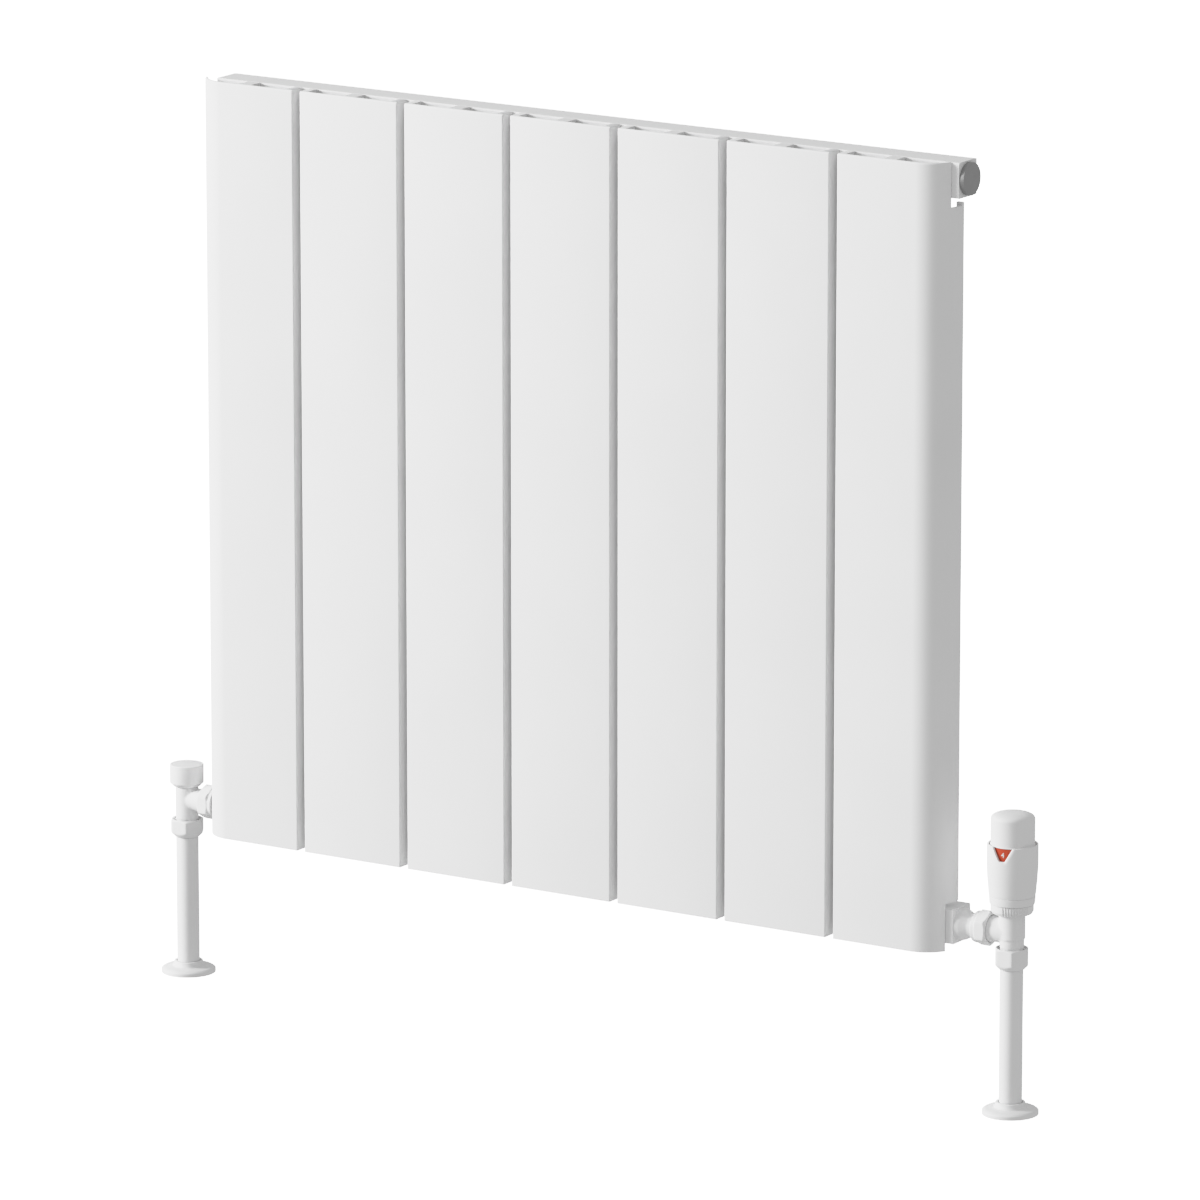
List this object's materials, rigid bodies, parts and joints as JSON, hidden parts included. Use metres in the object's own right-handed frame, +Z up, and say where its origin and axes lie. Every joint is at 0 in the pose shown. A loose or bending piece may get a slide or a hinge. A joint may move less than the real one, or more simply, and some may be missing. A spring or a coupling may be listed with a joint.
{
  "type": "radiator with valve",
  "caption": "Flat-panel wall radiator on top and bottom headers, with a thermostatic valve, a lockshield valve and covered floor pipes.",
  "frame": {"origin": "on the floor, midway between the two pipes and midway between the panels' front plane and the wall", "axes": "+X along the radiator towards the thermostatic valve, +Y to the wall, +Z up"},
  "size_m": [0.7926, 0.075, 0.721],
  "materials": {
    "white_coat": "satin powder coat",
    "valve_white": "satin lacquer",
    "head_plastic": "satin moulded",
    "dial_red": "satin moulded",
    "plug_nickel": "satin nickel plate",
    "brass": "machined",
    "copper": "drawn copper tube",
    "steel": "zinc plated",
    "rubber": "matt",
    "pad_plastic": "moulded"
  },
  "bodies": {
    "radiator": {"air_vent_plug": "plug_nickel", "air_vent_seal": "rubber", "blanking_plug": "plug_nickel", "blanking_plug_seal": "rubber", "bottom_header": "white_coat", "bracket_pad_1": "pad_plastic", "bracket_pad_2": "pad_plastic", "bracket_pad_3": "pad_plastic", "bracket_pad_4": "pad_plastic", "header_boss_bottom_left": "white_coat", "header_boss_bottom_right": "white_coat", "header_boss_top_left": "white_coat", "header_boss_top_right": "white_coat", "lockshield_body": "valve_white", "lockshield_bonnet": "brass", "lockshield_compression_nut": "valve_white", "lockshield_olive": "brass", "lockshield_tail": "valve_white", "lockshield_union_nut": "valve_white", "panel_1": "white_coat", "panel_2": "white_coat", "panel_3": "white_coat", "panel_4": "white_coat", "panel_5": "white_coat", "panel_6": "white_coat", "panel_7": "white_coat", "pipe_left": "copper", "pipe_right": "copper", "pipe_sleeve_left": "valve_white", "pipe_sleeve_right": "valve_white", "top_header": "white_coat", "trv_body": "valve_white", "trv_compression_nut": "valve_white", "trv_head_base": "head_plastic", "trv_head_nut": "head_plastic", "trv_insert": "brass", "trv_olive": "brass", "trv_sleeve": "head_plastic", "trv_spring": "steel", "trv_tail": "valve_white", "trv_union_nut": "valve_white", "wall_bracket_1": "steel", "wall_bracket_2": "steel", "wall_bracket_3": "steel", "wall_bracket_4": "steel"},
    "trv_handwheel": {"trv_cap": "head_plastic", "trv_number_drum": "dial_red"},
    "trv_element": {"trv_sensor": "steel", "trv_push_pin": "steel"},
    "trv_valve": {"trv_spindle": "brass", "trv_disc": "rubber"},
    "lockshield_cover": {"lockshield_cap": "head_plastic"},
    "lockshield_plug": {"lockshield_disc": "rubber"},
    "lockshield_screw": {"lockshield_spindle": "brass"},
    "vent_screw": {"bleed_screw": "brass"},
    "rose_left": {"floor_rose_left": "head_plastic"},
    "rose_right": {"floor_rose_right": "head_plastic"}
  },
  "joints": [
    {"name": "trv_handwheel_turn", "type": "hinge", "parent": "radiator", "child": "trv_handwheel", "pos_m": [0.375, -0.0101, 0.1406], "axis": [0, 0, 1], "range_deg": [-200, 50]},
    {"name": "trv_element_lift", "type": "slide", "parent": "radiator", "child": "trv_element", "axis": [0, 0, 1], "range_m": [-0.0022, 0.00055]},
    {"name": "trv_valve_lift", "type": "slide", "parent": "radiator", "child": "trv_valve", "axis": [0, 0, 1], "range_m": [-0.0022, 0.00055], "deforming": ["trv_spring"]},
    {"name": "lockshield_cap_lift", "type": "slide", "parent": "radiator", "child": "lockshield_cover", "axis": [0, 0, 1], "range_m": [0, 0.04]},
    {"name": "lockshield_plug_lift", "type": "slide", "parent": "radiator", "child": "lockshield_plug", "axis": [0, 0, 1], "range_m": [-0.0025, 0]},
    {"name": "lockshield_screw_turn", "type": "hinge", "parent": "lockshield_plug", "child": "lockshield_screw", "pos_m": [-0.375, -0.0101, 0.1406], "axis": [0, 0, 1], "range_deg": [-900, 0]},
    {"name": "vent_screw_turn", "type": "hinge", "parent": "radiator", "child": "vent_screw", "pos_m": [-0.3312, -0.0101, 0.7075], "axis": [-1, 0, 0], "range_deg": [0, 360]},
    {"name": "rose_left_slide", "type": "slide", "parent": "radiator", "child": "rose_left", "axis": [0, 0, 1], "range_m": [0, 0.06]},
    {"name": "rose_right_slide", "type": "slide", "parent": "radiator", "child": "rose_right", "axis": [0, 0, 1], "range_m": [0, 0.06]}
  ],
  "couplings": [
    {"joint": "trv_handwheel_turn", "follows": "trv_element_lift", "rad_per_m": 1570.8},
    {"joint": "trv_valve_lift", "follows": "trv_element_lift", "ratio": 1},
    {"joint": "lockshield_screw_turn", "follows": "lockshield_plug_lift", "rad_per_m": 6283.2}
  ]
}
